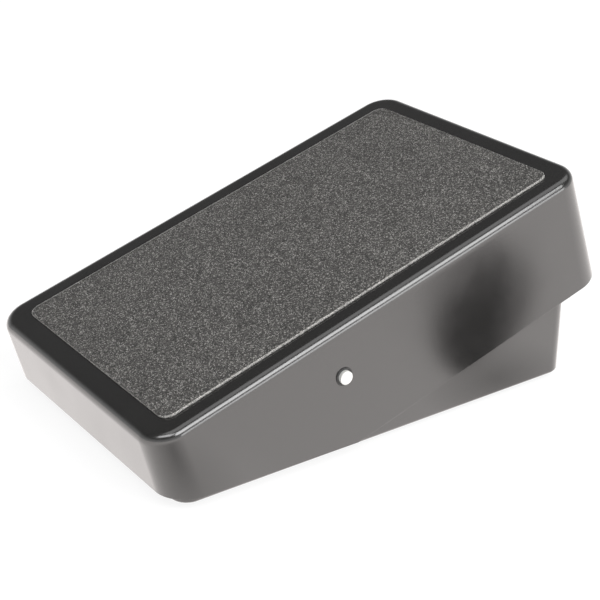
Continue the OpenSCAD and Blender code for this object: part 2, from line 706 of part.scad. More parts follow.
module cable_grommet() color([0.05, 0.05, 0.05]) at_nose() translate([0, tray_back, grommet_z])
  rotate([90, 0, 0]) rotate_extrude() polygon([
    [grommet_bore / 2, -grommet_flange_t], [grommet_flange_r - grommet_chamfer, -grommet_flange_t],
    [grommet_flange_r, grommet_chamfer - grommet_flange_t], [grommet_flange_r, 0],
    [grommet_neck_r - seat_fit, 0], [grommet_neck_r - seat_fit, tray_t],
    [grommet_flange_r, tray_t], [grommet_flange_r, tray_t + grommet_flange_t - grommet_chamfer],
    [grommet_flange_r - grommet_chamfer, tray_t + grommet_flange_t],
    [grommet_bore / 2, tray_t + grommet_flange_t]
  ]);

module at_earth(z) at_nose() translate([earth_x, earth_y, z]) children();

module earth_screw() color([0.75, 0.6, 0.25]) at_earth(0)
  pan_screw(screw_d, tray_t + washer_t + nut_h + earth_thread, head_d, head_h);

module earth_washer() color([0.75, 0.6, 0.25]) at_earth(tray_t) difference() {
  cylinder(r = washer_r, h = washer_t);
  translate([0, 0, -1]) cylinder(r = hole_r, h = washer_t + 2);
}

module earth_nut() color([0.75, 0.6, 0.25]) at_earth(tray_t + washer_t) hex_nut(screw_d / 2 + seat_fit);

// ---- Nodes ----

base_tray();
foot(LEFT, FRONT);  // foot_front_left
foot(RIGHT, FRONT);  // foot_front_right
foot(LEFT, REAR);  // foot_rear_left
foot(RIGHT, REAR);  // foot_rear_right
hinge_pin();
pin_clip(LEFT);  // pin_clip_left
pin_clip(RIGHT);  // pin_clip_right
rest_pad(LEFT);  // rest_pad_left
rest_pad(RIGHT);  // rest_pad_right
travel_stop(LEFT);  // travel_stop_left
travel_stop(RIGHT);  // travel_stop_right
spring_seat();
seat_screw();
return_spring();
switch_bracket();
bracket_screws();
bracket_nuts();
switch_case();
switch_cover();
switch_screws();
switch_nuts();
switch_terminals();
terminal_screws();
lever_pin();
cable_grommet();
earth_screw();
earth_washer();
earth_nut();
treadle();
tread_pad();
hinge_bush(LEFT);  // hinge_bush_left
hinge_bush(RIGHT);  // hinge_bush_right
striker_bracket();
striker_studs();
striker_nuts();
spring_cap();
switch_plunger();
switch_lever();
roller_pin();
lever_roller();
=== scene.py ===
import math

import bmesh
import bpy
from mathutils import Matrix, Vector, noise

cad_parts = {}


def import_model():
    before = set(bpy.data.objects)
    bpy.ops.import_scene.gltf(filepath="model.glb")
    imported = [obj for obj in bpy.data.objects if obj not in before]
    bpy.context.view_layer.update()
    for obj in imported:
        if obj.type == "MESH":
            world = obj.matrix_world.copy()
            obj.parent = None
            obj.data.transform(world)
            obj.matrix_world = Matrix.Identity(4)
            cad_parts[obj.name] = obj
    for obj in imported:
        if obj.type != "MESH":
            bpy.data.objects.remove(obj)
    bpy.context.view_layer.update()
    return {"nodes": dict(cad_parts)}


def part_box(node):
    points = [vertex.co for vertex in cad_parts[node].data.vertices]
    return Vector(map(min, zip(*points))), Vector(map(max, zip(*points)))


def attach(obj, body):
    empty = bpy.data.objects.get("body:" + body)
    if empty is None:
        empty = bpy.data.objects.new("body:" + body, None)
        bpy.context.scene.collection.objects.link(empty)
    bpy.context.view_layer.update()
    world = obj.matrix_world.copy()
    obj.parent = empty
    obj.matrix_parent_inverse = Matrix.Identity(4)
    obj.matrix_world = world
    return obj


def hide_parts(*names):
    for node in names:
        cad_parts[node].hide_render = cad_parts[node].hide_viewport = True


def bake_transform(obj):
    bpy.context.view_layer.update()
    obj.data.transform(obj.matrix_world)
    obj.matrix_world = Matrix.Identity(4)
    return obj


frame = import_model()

# The sizes in part.scad that the pieces here repeat, in metres and radians
NOSE_Y, FOOT_H = -0.1177967233, 0.003
SLOPE, DRAFT, TRAVEL = math.radians(16.8), math.radians(2.2), math.radians(10)
TREADLE_W, TREADLE_L, SKIRT_D, NOSE_H, LIFT = 0.140, 0.2265, 0.055, 0.0322, 0.0036
CORNER_R, BROW_R, SHEET = 0.013, 0.004, 0.0015
PAD_W, PAD_L, PAD_R, PAD_T, PAD_END, PAD_SHIFT = 0.1186, 0.2035, 0.005, 0.0009, 0.0115, 0.0013
TRAY_W, TRAY_L, TRAY_IN, TRAY_R, TRAY_BEND, RIM_W = 0.1364, 0.2046, 0.012, 0.008, 0.0018, 0.014
STOP = 0.0033                       # a rubber stop on the rim, with the gap above it
PIN_Y, PIN_Z, PIN_R, GROOVE_R, PIN_CHAMFER = 0.0885, 0.0361, 0.003, 0.0023, 0.0005
BUSH_R, BUSH_FLANGE_R, BUSH_PROUD = 0.004, 0.0055, 0.00035
SPRING_Y, SEAT_H, CAP_H, COIL_R, WIRE, TURNS = 0.068, 0.016, 0.009, 0.009, 0.002, 7
FOOT_X, FOOT_IN, FOOT_R, FOOT_NECK_R, FOOT_BULB_R = 0.050, 0.020, 0.009, 0.003, 0.0043
GROMMET_Z, GROMMET_R, GROMMET_NECK_R = 0.0108, 0.0079, 0.006
GROMMET_BORE_R, GROMMET_T = 0.0035, 0.002
SCREW_HOLE_R = 0.0022
FIT = 0.00005                       # radial, round what turns or is pushed in

# What the finer meshes add to the source's shapes
CORNER_STEPS, BROW_STEPS, EDGE_STEPS = 14, 9, 5
LATHE_STEPS, HOLE_STEPS = 72, 48
WIRE_RINGS, WIRE_SIDES = 56, 14     # rings of wire in a turn, and sides of a ring
HOLD = 0.0012                       # from a bend to the row of faces that keeps its shading there
SHEET_BEVEL = 0.00025               # on the cut edges of pressed sheet
EDGE_R, MOUTH = 0.001, 0.0004       # on the edges of moulded rubber, and in the grommet's bore
BUSH_EDGE, BUSH_GAP = 0.00015, 0.0002   # on its edges, and from its flange to the drafted skirt
RIM_CLEAR = 0.001                   # from the tray's round corners to its folded rims
# The pad's grid, the height of its grains and how unevenly it is cut; then the width of its cut
# edge, how far that drops, and how far the pad's underside stands off the treadle
PAD_STEP, PAD_GRAIN, PAD_WOBBLE = 0.0006, 0.00022, 0.00012
PAD_RIM, PAD_DROP, PAD_CLEAR = 0.0002, 0.0001, 0.00002
THROUGH, ACROSS = 0.01, 0.3         # lengths of the rods that cut one sheet, and both sides at once

PIN = Vector((0, NOSE_Y + PIN_Y, FOOT_H + PIN_Z))
NOSE = Vector((0, NOSE_Y, FOOT_H + NOSE_H))
TRAY_FRONT = NOSE_Y + TRAY_IN
TRAY_BACK = TRAY_FRONT + TRAY_L
# From the pin to the tray's rim, square to the treadle's top
RIM_N = ((NOSE_H + PIN_Y * math.tan(SLOPE) - PIN_Z) * math.cos(SLOPE)) - SHEET - STOP


def square_to(slope):
    """The direction square to a surface that climbs towards the back at this angle."""
    return Vector((0, -math.sin(slope), math.cos(slope)))


TOP_N = square_to(SLOPE)


# ---------------------------------------------------------------- node helpers

class Nodes:
    """A small builder for the node tree of a material or of the world."""

    def __init__(self, owner, output="ShaderNodeOutputMaterial"):
        owner.use_nodes = True
        self.owner, self.tree = owner, owner.node_tree
        self.tree.nodes.clear()
        self.surface = self.add(output).inputs["Surface"]

    def put(self, socket, value):
        """Links a socket to another node's output, or sets it to a number, vector or colour."""
        if isinstance(value, bpy.types.NodeSocket):
            self.tree.links.new(value, socket)
        elif socket.type == "RGBA":
            socket.default_value = (*value, 1)
        else:
            socket.default_value = value

    def add(self, kind, **values):
        """A new node. Each value is one of its settings, or goes to the input of that name."""
        n = self.tree.nodes.new(kind)
        for key, value in values.items():
            if hasattr(n, key):
                setattr(n, key, value)
            else:
                self.put(n.inputs[key.replace("_", " ")], value)
        return n

    def join(self, kind, *values, output=0, **settings):
        """A new node whose inputs are filled in their order. Gives one of its outputs."""
        n = self.add(kind, **settings)
        for socket, value in zip(n.inputs, values):
            self.put(socket, value)
        return n.outputs[output]

    def calc(self, operation, a, b):
        return self.join("ShaderNodeMath", a, b, operation=operation)

    def coords(self):
        return self.add("ShaderNodeTexCoord").outputs["Object"]

    def noise(self, scale, detail=3.0, rough=0.5):
        n = self.add("ShaderNodeTexNoise", Scale=scale, Detail=detail, Roughness=rough,
                     Vector=self.coords())
        return n.outputs["Fac"]

    def spot(self, vector):
        """1 at the origin, falling to 0 at a distance of 1."""
        n = self.add("ShaderNodeTexGradient", gradient_type="SPHERICAL", Vector=vector)
        return n.outputs["Fac"]

    def ramp(self, fac, stops):
        n = self.add("ShaderNodeValToRGB", Fac=fac)
        while len(n.color_ramp.elements) < len(stops):
            n.color_ramp.elements.new(0.5)
        for e, (at, c) in zip(n.color_ramp.elements, stops):
            e.position = at
            e.color = (*c, 1) if isinstance(c, tuple) else (c, c, c, 1)
        return n.outputs["Color"]

    def span(self, fac, low, high, start=0.3, end=0.7):
        """From low to high while fac goes from start to end, which as they stand suit a noise."""
        n = self.add("ShaderNodeMapRange", Value=fac, From_Min=start, From_Max=end,
                     To_Min=low, To_Max=high)
        return n.outputs["Result"]

    def mix(self, fac, a, b, how="MIX"):
        n = self.add("ShaderNodeMix", data_type="RGBA", blend_type=how)
        for index, value in ((0, fac), (6, a), (7, b)):
            self.put(n.inputs[index], value)
        return n.outputs[2]

    def mottle(self, scale, dark, light):
        """Two shades of a colour in a soft cloud."""
        return self.mix(self.span(self.noise(scale), 0, 1, 0.35, 0.65), dark, light)

    def bump(self, height, strength, distance, **normal):
        n = self.add("ShaderNodeBump", Height=height, Strength=strength, Distance=distance,
                     **normal)
        return n.outputs["Normal"]

    def finish(self, color, rough, metallic=0.0, ior=1.5, **normal):
        """Puts the surface's shader on the output and gives the material."""
        p = self.add("ShaderNodeBsdfPrincipled", Base_Color=color, Roughness=rough,
                     Metallic=metallic, IOR=ior, **normal)
        self.put(self.surface, p.outputs["BSDF"])
        return self.owner


def material(name):
    return Nodes(bpy.data.materials.new(name))


# ---------------------------------------------------------------- materials

def enamel():
    """Stoved black enamel: a deep gloss over a slight orange peel."""
    m = material("enamel")
    fine = m.noise(1500, 2.0, 0.6)
    base = m.mix(m.span(fine, 0, 1, 0.45, 0.75), (0.009, 0.0086, 0.0082), (0.016, 0.0153, 0.0146))
    peel = m.bump(m.noise(420, 2.0), 0.03, 0.0003)
    return m.finish(base, m.span(m.noise(35, 4.0), 0.17, 0.24), ior=1.9,
                    Normal=m.bump(fine, 0.03, 0.0001, Normal=peel))


def zinc():
    """Dull zinc plating."""
    m = material("zinc_steel")
    grain = m.noise(900)
    return m.finish(m.mottle(250, (0.74, 0.74, 0.72), (0.88, 0.88, 0.86)),
                    m.span(grain, 0.42, 0.55), 0.45, Normal=m.bump(grain, 0.15, 0.0001))


def metal(name, dark, light, scale, grain, smooth, rough):
    """A bare metal, bright from drawing or turning."""
    m = material(name)
    return m.finish(m.mottle(scale, dark, light), m.span(m.noise(grain, 2.0), smooth, rough), 1.0)


def plastic(name, dark, light, rough, grain=1200, strength=0.15):
    """A moulded plastic or rubber with the fine grain of its mould."""
    m = material(name)
    fac = m.noise(grain)
    return m.finish(m.mottle(grain / 4, dark, light), m.span(fac, rough - 0.06, rough + 0.06),
                    Normal=m.bump(fac, strength, 0.0001))


def grit():
    """Mineral grains in a dark binder: each cell is a grain with its own grey and its own gloss."""
    m = material("grit")
    cell = m.add("ShaderNodeTexVoronoi", Scale=2500.0, Vector=m.coords()).outputs
    grain = m.add("ShaderNodeSeparateColor", Color=cell["Color"]).outputs
    base = m.ramp(grain[0], [(0.0, (0.012, 0.0115, 0.011)), (0.45, (0.040, 0.0385, 0.036)),
                             (0.80, (0.115, 0.111, 0.105)), (0.97, (0.36, 0.35, 0.335))])
    cloud = m.span(m.noise(140, 5.0, 0.7), 0.90, 1.03)
    rough = m.ramp(grain[1], [(0.0, 0.55), (0.8, 0.75), (0.93, 0.30)])
    return m.finish(m.mix(1.0, base, cloud, "MULTIPLY"), rough,
                    Normal=m.bump(cell["Distance"], 0.5, 0.0002))


def painted_edge_highlight():
    """The pad's cut edge, painted paler all round: a painted highlight of the light along the cut
    edge.
    """
    m = material("painted_edge_highlight")
    fac = m.span(m.noise(2200), 0, 1, 0.38, 0.62)
    return m.finish(m.mix(fac, (0.07, 0.068, 0.064), (0.50, 0.49, 0.47)), 0.6)


def even(value):
    """A grey."""
    return (value, value, value)


SLOTS = {
    "enamel": enamel(),
    "zinc_steel": zinc(),
    "spring_steel": metal("spring_steel", (0.30, 0.30, 0.31), (0.45, 0.45, 0.46),
                          300, 700, 0.25, 0.4),
    "brass": metal("brass", (0.70, 0.52, 0.22), (0.83, 0.66, 0.33), 200, 800, 0.22, 0.36),
    "grit": grit(),
    "rubber": plastic("rubber", even(0.022), even(0.040), 0.7, 800, 0.3),
    "black_nylon": plastic("black_nylon", even(0.020), even(0.034), 0.5),
    "pale_nylon": plastic("pale_nylon", (0.68, 0.66, 0.59), (0.80, 0.78, 0.70), 0.45),
    "case_resin": plastic("case_resin", (0.12, 0.030, 0.022), (0.20, 0.052, 0.04), 0.38),
    "cover_resin": plastic("cover_resin", even(0.030), even(0.055), 0.4),
}


# ---------------------------------------------------------------- mesh helpers

def thing(bm, name):
    """Turns a bmesh into an object of the scene."""
    mesh = bpy.data.meshes.new(name)
    bm.to_mesh(mesh)
    bm.free()
    ob = bpy.data.objects.new(name, mesh)
    bpy.context.scene.collection.objects.link(ob)
    return ob


def raw(bm, name, bevel=0.0):
    """Turns a bmesh into a piece with no finish yet. bevel rounds its sharp edges."""
    bmesh.ops.recalc_face_normals(bm, faces=bm.faces)
    ob = thing(bm, name)
    if bevel:
        b = ob.modifiers.new("edges", "BEVEL")
        b.width, b.segments, b.limit_method, b.angle_limit = bevel, 2, "ANGLE", math.radians(35)
        apply_modifiers(ob)
    return ob


def apply_modifiers(ob):
    bpy.context.view_layer.update()
    graph = bpy.context.evaluated_depsgraph_get()
    mesh = bpy.data.meshes.new_from_object(ob.evaluated_get(graph))
    old = ob.data
    ob.modifiers.clear()
    ob.data = mesh
    mesh.name = ob.name
    bpy.data.meshes.remove(old)


def dress(ob, slot, body, replaces, weighted=True):
    """Gives a piece its material, smooth shading, body and the CAD nodes that it stands for."""
    ob.data.materials.append(SLOTS[slot])
    ob.data.shade_smooth()
    for e in ob.data.edges:
        e.use_edge_sharp = False
    if weighted:
        w = ob.modifiers.new("normals", "WEIGHTED_NORMAL")
        w.weight, w.keep_sharp = 100, False
        apply_modifiers(ob)
    if body:
        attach(ob, body)
    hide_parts(*replaces)
    return ob


def cut(ob, others, operation="DIFFERENCE"):
    """Cuts the others' shapes out of a piece, or joins them to it."""
    for c in others:
        b = ob.modifiers.new("cut", "BOOLEAN")
        b.operation, b.solver, b.object = operation, "EXACT", c
    apply_modifiers(ob)
    for c in others:
        bpy.data.objects.remove(c)


def stand(at, axis):
    """The matrix that moves a form from the origin to a place and turns its z axis to another."""
    turn = Vector((0, 0, 1)).rotation_difference(Vector(axis)).to_matrix().to_4x4()
    return Matrix.Translation(at) @ turn


def rod(at, axis, r, length):
    """A plain cylinder round a place, used only to cut holes."""
    bm = bmesh.new()
    bmesh.ops.create_cone(bm, cap_ends=True, segments=HOLE_STEPS, radius1=r, radius2=r,
                          depth=length)
    bm.transform(stand(at, axis))
    return thing(bm, "cutter")


def lathe(name, slot, body, profile, at, axis, node):
    """Turns a profile of (radius, height) points round an axis through at. A profile that starts
    and ends off the axis is closed into a ring."""
    bm = bmesh.new()
    rings = []
    turn = [2 * math.pi * i / LATHE_STEPS for i in range(LATHE_STEPS)]
    for r, h in profile:
        if r < 1e-7:
            rings.append([bm.verts.new((0, 0, h))])
        else:
            rings.append([bm.verts.new((r * math.cos(a), r * math.sin(a), h)) for a in turn])
    if len(rings[0]) > 1 and len(rings[-1]) > 1:
        rings.append(rings[0])
    for a, b in zip(rings, rings[1:]):
        for i in range(LATHE_STEPS):
            j = (i + 1) % LATHE_STEPS
            # A ring of one point, on the axis, turns its quads into triangles
            quad = [a[i % len(a)], a[j % len(a)], b[j % len(b)], b[i % len(b)]]
            face = list(dict.fromkeys(quad))
            if len(face) > 2:
                bm.faces.new(face)
    bm.transform(stand(at, axis))
    dress(raw(bm, name), slot, body, (node,))


def arc(cx, cy, r, a0, a1, n):
    """Points on an arc, in degrees, ends included."""
    return [(cx + r * math.cos(math.radians(a0 + (a1 - a0) * i / n)),
             cy + r * math.sin(math.radians(a0 + (a1 - a0) * i / n))) for i in range(n + 1)]


# ---------------------------------------------------------------- drawn shells

def around(half, span, y_extra):
    """(axis x, axis y, direction) round a drawn form, its corners finely divided, with one more
    place on each long side."""
    out = []

    def corner(x, y, start):
        for i in range(CORNER_STEPS + 1):
            a = math.radians(start + 90 * i / CORNER_STEPS)
            out.append((x, y, math.cos(a), math.sin(a)))
    corner(half, span, 0)
    corner(-half, span, 90)
    out.append((-half, y_extra, -1, 0))
    corner(-half, 0, 180)
    corner(half, 0, 270)
    out.append((half, y_extra, 1, 0))
    return out


def shell(half, span, r, brow, draft, place, depth_at, kink):
    """A drawn sheet form as a closed mesh: its top, a rounded brow and walls with draft. half and
    span place the axes of its corners, and r is their radius. place turns local (x, y, z) into the
    frame. depth_at gives, for a wall's top point and its direction down, how far down the wall
    runs, and kink is the y at which the walls' lower edge bends."""
    inset = SHEET / math.cos(draft) - SHEET * math.tan(draft)
    down = Vector((math.tan(draft), -1)).normalized()
    bm = bmesh.new()
    skins = []
    for off, drop, bend_r in ((0, 0, brow), (inset, SHEET, brow - SHEET)):
        centre = r - off - bend_r * (1 - math.sin(draft)) / math.cos(draft)
        top = [(centre - HOLD, -drop), (centre, -drop)]
        bend = arc(centre, -bend_r - drop, bend_r, 90, math.degrees(draft), BROW_STEPS)[1:]
        q0, h0 = bend[-1]
        columns = []
        for ax, ay, dx, dy in around(half, span, kink):
            col = [place(ax + dx * q, ay + dy * q, h) for q, h in top + bend]
            start = col[-1]
            far = place(ax + dx * (q0 + down.x), ay + dy * (q0 + down.x), h0 + down.y)
            way = (far - start).normalized()
            run = depth_at(start, way)
            col += [start + way * k for k in (HOLD, run / 2, run)]
            columns.append([bm.verts.new(p) for p in col])
        skins.append(columns)
    for columns in skins:
        for a, b in zip(columns, columns[1:] + columns[:1]):
            for k in range(len(a) - 1):
                bm.faces.new((a[k], a[k + 1], b[k + 1], b[k]))
        bm.faces.new([c[0] for c in columns])
    # The wall's lower edge, from the outer skin to the inner
    edges = [[c[-1] for c in columns] for columns in skins]
    for a, b, c, d in zip(edges[0], edges[0][1:] + edges[0][:1],
                          edges[1][1:] + edges[1][:1], edges[1]):
        bm.faces.new((a, b, c, d))
    bmesh.ops.remove_doubles(bm, verts=bm.verts, dist=1e-6)
    return bm


# ---------------------------------------------------------------- treadle

def on_treadle(x, y, z):
    """Local (x, y up the slope from the front corner axes, z square to the top) to the frame."""
    y += CORNER_R
    return Vector((x, NOSE_Y + y * math.cos(SLOPE) - z * math.sin(SLOPE),
                   FOOT_H + NOSE_H + y * math.sin(SLOPE) + z * math.cos(SLOPE)))


def skirt_depth(start, way):
    """How far a skirt wall runs down to its lower edge: level at the front, square at the rear."""
    square = (-SKIRT_D - (start - NOSE).dot(TOP_N)) / way.dot(TOP_N)
    level = (FOOT_H + LIFT - start.z) / way.z
    return min(square, level)


# The level and the square edges meet where a point SKIRT_D below the top is LIFT above the tray's
# underside
skirt_kink = (SKIRT_D * math.cos(SLOPE) - NOSE_H + LIFT) / math.sin(SLOPE) - CORNER_R
treadle = raw(shell(TREADLE_W / 2 - CORNER_R, TREADLE_L - 2 * CORNER_R, CORNER_R, BROW_R, DRAFT,
                    on_treadle, skirt_depth, skirt_kink), "treadle_shell", SHEET_BEVEL)
cut(treadle, [rod(PIN, (1, 0, 0), BUSH_R + FIT, ACROSS)])
dress(treadle, "enamel", "treadle", ("treadle",))


# ---------------------------------------------------------------- tray

def on_tray(x, y, z):
    """Local (x, y from the front corner axes, z down from the tray's underside) to the frame."""
    return Vector((x, TRAY_FRONT + TRAY_R + y, FOOT_H - z))


def tray_wall(start, way):
    """How far a wall of the tray runs up to its rim, under the treadle both up and pressed."""
    return min((PIN + n * RIM_N - start).dot(n) / way.dot(n)
               for n in (square_to(SLOPE), square_to(SLOPE - TRAVEL)))


def flange(bm, slope, y0, y1):
    """A flange folded in at the rim, between two places along the tray."""
    half = TRAY_W / 2 - TRAY_R - RIM_CLEAR
    corners = []
    for x in (-half, half):
        for y in (y0, y1):
            for off in (RIM_N - SHEET, RIM_N):
                p = PIN + square_to(slope) * off
                corners.append(bm.verts.new((x, y, p.z + (y - p.y) * math.tan(slope))))
    for f in ((0, 1, 3, 2), (4, 6, 7, 5), (0, 4, 5, 1), (2, 3, 7, 6), (0, 2, 6, 4), (1, 5, 7, 3)):
        bm.faces.new([corners[i] for i in f])


def heads(node):
    """Where the screws of a node stand: one, or two in a row."""
    low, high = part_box(node)
    x, r = (low.x + high.x) / 2, (high.x - low.x) / 2
    return [(x, low.y + r)] + ([(x, high.y - r)] if high.y - low.y > 3 * r else [])


# The rim bends where its planes with the treadle up and pressed meet, halfway between the two
mid = SLOPE - TRAVEL / 2
rim_kink = PIN.y - RIM_N * math.sin(mid) / math.cos(TRAVEL / 2) - TRAY_FRONT - TRAY_R
tray = raw(shell(TRAY_W / 2 - TRAY_R, TRAY_L - 2 * TRAY_R, TRAY_R, TRAY_BEND, 0,
                 on_tray, tray_wall, rim_kink), "tray_shell", SHEET_BEVEL)
folds = bmesh.new()
flange(folds, SLOPE, TRAY_FRONT + SHEET / 2, TRAY_FRONT + SHEET / 2 + RIM_W)
flange(folds, SLOPE - TRAVEL, TRAY_BACK - SHEET / 2 - RIM_W, TRAY_BACK - SHEET / 2)
cut(tray, [raw(folds, "folds")], "UNION")

FEET = [(sx * FOOT_X, y) for sx in (-1, 1) for y in (TRAY_FRONT + FOOT_IN, TRAY_BACK - FOOT_IN)]
SCREWS = [at for node in ("bracket_screws", "seat_screw", "earth_screw") for at in heads(node)]
holes = [rod((x, y, FOOT_H + SHEET / 2), (0, 0, 1), r, THROUGH)
         for places, r in ((FEET, FOOT_NECK_R), (SCREWS, SCREW_HOLE_R)) for x, y in places]
holes.append(rod(PIN, (1, 0, 0), PIN_R + FIT, ACROSS))
holes.append(rod((0, TRAY_BACK, FOOT_H + GROMMET_Z), (0, 1, 0), GROMMET_NECK_R, THROUGH))
cut(tray, holes)
dress(tray, "enamel", "base", ("base_tray",))


# ---------------------------------------------------------------- tread pad

def pad():
    """A gritted pad: its face is a fine field of grains, its edge is cut a little unevenly. y
    counts from its front end and x from its middle."""
    straight = PAD_L - 2 * PAD_R
    nx, ny = round(PAD_W / PAD_STEP), round(straight / PAD_STEP)
    ends = [PAD_R * (1 - math.cos(math.radians(a))) for a in range(0, 90, 9)]
    ys = ends + [PAD_R + straight * i / ny for i in range(ny + 1)]
    ys += [PAD_L - e for e in reversed(ends)]
    bm = bmesh.new()
    rows = []
    for y in ys:
        from_end = min(y, PAD_L - y)
        half = PAD_W / 2
        if from_end < PAD_R:
            half -= PAD_R - math.sqrt(max(0, PAD_R * PAD_R - (PAD_R - from_end) ** 2))
        row = []
        for i in range(nx + 1):
            x = -half + 2 * half * i / nx
            p = Vector((x, y, 0))
            fine, coarse = noise.noise(p * 1700), noise.noise(p * 800 + Vector((7, 3, 1)))
            grain = PAD_GRAIN * (fine * 0.65 + coarse * 0.35)
            z, wobble = PAD_T + grain, 0
            if min(half - abs(x), from_end) < PAD_RIM:
                z = PAD_T + grain * 0.4 - PAD_DROP
                wobble = noise.noise(p * 900) * PAD_WOBBLE
            outwards = wobble if x > 0 else -wobble
            row.append(bm.verts.new(on_treadle(x + outwards + PAD_SHIFT,
                                               y + wobble + PAD_END - CORNER_R, z)))
        rows.append(row)
    last = len(rows) - 2
    for j, (a, b) in enumerate(zip(rows, rows[1:])):
        for i in range(nx):
            face = bm.faces.new((a[i], a[i + 1], b[i + 1], b[i]))
            face.material_index = int(i in (0, nx - 1) or j in (0, last))
    rim = (rows[0] + [row[-1] for row in rows[1:-1]]
           + rows[-1][::-1] + [row[0] for row in rows[-2:0:-1]])
    under = [bm.verts.new(v.co - TOP_N * ((v.co - NOSE).dot(TOP_N) - PAD_CLEAR)) for v in rim]
    for i in range(len(rim)):
        j = (i + 1) % len(rim)
        bm.faces.new((rim[i], under[i], under[j], rim[j])).material_index = 1
    bm.faces.new(under)
    return bm


tread = dress(raw(pad(), "tread_pad_face"), "grit", "treadle", ("tread_pad",), weighted=False)
# The pad's edge faces take the painted highlight along its cut edge
tread.data.materials.append(painted_edge_highlight())


# ---------------------------------------------------------------- turned and moulded pieces

def turned_pin():
    """The hinge pin: rounded ends and a groove for each clip."""
    lo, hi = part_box("hinge_pin")
    half, c = (hi.x - lo.x) / 2, PIN_CHAMFER
    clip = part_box("pin_clip_right")
    a, b = clip[0].x - FIT / 2, clip[1].x + FIT / 2
    side = [(PIN_R, 0), (PIN_R, a), (GROOVE_R, a), (GROOVE_R, b), (PIN_R, b), (PIN_R, half - c)]
    # A rounded end, very slightly crowned
    end = arc(PIN_R - c, half - c, c, 0, 90, 4)[1:]
    end += [(PIN_R * 0.4, half + 0.00003), (0, half + 0.00004)]
    right = side + end
    left = [(q, -h) for q, h in right[1:]]
    lathe("hinge_pin_turned", "zinc_steel", "base", left[::-1] + right, PIN, (1, 0, 0), "hinge_pin")


def foot(index, x, y, node):
    """A rubber foot pushed into the tray from below: a hollow in its sole, a neck in the hole and a
    bulb with a tapered tip above. Heights count from the tray's underside."""
    neck, t = FOOT_NECK_R - FIT, SHEET
    sole = [(0, -0.0027), (0.0020, -0.0027), (0.0026, -FOOT_H)]
    side = arc(FOOT_R - EDGE_R, EDGE_R - FOOT_H, EDGE_R, -90, 0, EDGE_STEPS)
    side += [(FOOT_R, -0.0004), (FOOT_R - 0.0002, 0), (neck, 0), (neck, t)]
    bulb = [(FOOT_BULB_R, t + 0.0004), (0.0040, t + 0.0014), (0.0020, t + 0.0046),
            (0.0014, t + 0.0050), (0, t + 0.0050)]
    lathe("rubber_foot_%d" % index, "rubber", "base", sole + side + bulb, Vector((x, y, FOOT_H)),
          (0, 0, 1), node)


def grommet():
    """The cable grommet: a neck in the tray's rear wall and a flange on each side of it. Heights
    count inwards from the wall's outer face."""
    r, neck, bore, t = GROMMET_R, GROMMET_NECK_R - FIT, GROMMET_BORE_R, GROMMET_T
    profile = [(bore, MOUTH - t), (bore + MOUTH, -t)]
    profile += arc(r - EDGE_R, EDGE_R - t, EDGE_R, -90, 0, EDGE_STEPS)
    profile += [(r, 0), (neck, 0), (neck, SHEET), (r, SHEET)]
    profile += arc(r - EDGE_R, SHEET + t - EDGE_R, EDGE_R, 0, 90, EDGE_STEPS)
    profile += [(bore + MOUTH, SHEET + t), (bore, SHEET + t - MOUTH)]
    lathe("grommet_moulded", "rubber", "base", profile, Vector((0, TRAY_BACK, FOOT_H + GROMMET_Z)),
          (0, -1, 0), "cable_grommet")


def bush(side):
    """A flanged nylon bush in the skirt, its rims slightly rounded."""
    which = "right" if side > 0 else "left"
    lo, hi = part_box("hinge_bush_" + which)
    a, b = (lo.x, hi.x) if side > 0 else (-hi.x, -lo.x)
    skin = b - BUSH_PROUD - SHEET / math.cos(DRAFT) - BUSH_GAP
    bore, e = PIN_R + FIT, BUSH_EDGE
    profile = [(bore, a), (BUSH_FLANGE_R - e, a), (BUSH_FLANGE_R, a + e), (BUSH_FLANGE_R, skin),
               (BUSH_R, skin), (BUSH_R, b - e), (BUSH_R - e, b), (bore + e, b), (bore, b - e)]
    lathe("bush_" + which, "black_nylon", "treadle", profile, PIN, (side, 0, 0),
          "hinge_bush_" + which)


def spring():
    """Closed ends and an open middle, as the source winds it, in a round smooth wire."""
    y = PIN.y + SPRING_Y
    base = FOOT_H + SHEET + SEAT_H + FIT
    under = RIM_N + STOP                        # the underside of the treadle's top
    cap = PIN.z + (under + SPRING_Y * math.sin(SLOPE)) / math.cos(SLOPE) - CAP_H
    tall, lean = cap - base - FIT, math.tan(TRAVEL / 2)
    end = WIRE * 1.04                           # the rise of a closed turn
    pitch = (tall - WIRE - 2 * end) / (TURNS - 2)
    bm = bmesh.new()
    rings = []
    for i in range(TURNS * WIRE_RINGS + 1):
        k = i / WIRE_RINGS
        z = (WIRE / 2 + end * min(k, 1) + pitch * min(max(k - 1, 0), TURNS - 2)
             + end * max(k - TURNS + 1, 0))
        a = 2 * math.pi * k
        ring = []
        for j in range(WIRE_SIDES):
            b = 2 * math.pi * j / WIRE_SIDES
            r = COIL_R + WIRE / 2 * math.cos(b)
            h = z + WIRE / 2 * math.sin(b)
            h += r * math.sin(a) * lean * h / tall
            ring.append(bm.verts.new((r * math.cos(a), y + r * math.sin(a), base + h)))
        rings.append(ring)
    for p, q in zip(rings, rings[1:]):
        for j in range(WIRE_SIDES):
            i = (j + 1) % WIRE_SIDES
            bm.faces.new((p[j], q[j], q[i], p[i]))
    bm.faces.new(rings[0])
    bm.faces.new(rings[-1])
    ob = dress(raw(bm, "return_spring_wire"), "spring_steel", None, ("return_spring",))
    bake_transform(ob)


turned_pin()
for i, name in enumerate(("front_left", "rear_left", "front_right", "rear_right")):
    foot(i, *FEET[i], "foot_" + name)
grommet()
bush(-1)
bush(1)
spring()


# ---------------------------------------------------------------- finishes of the CAD's own nodes

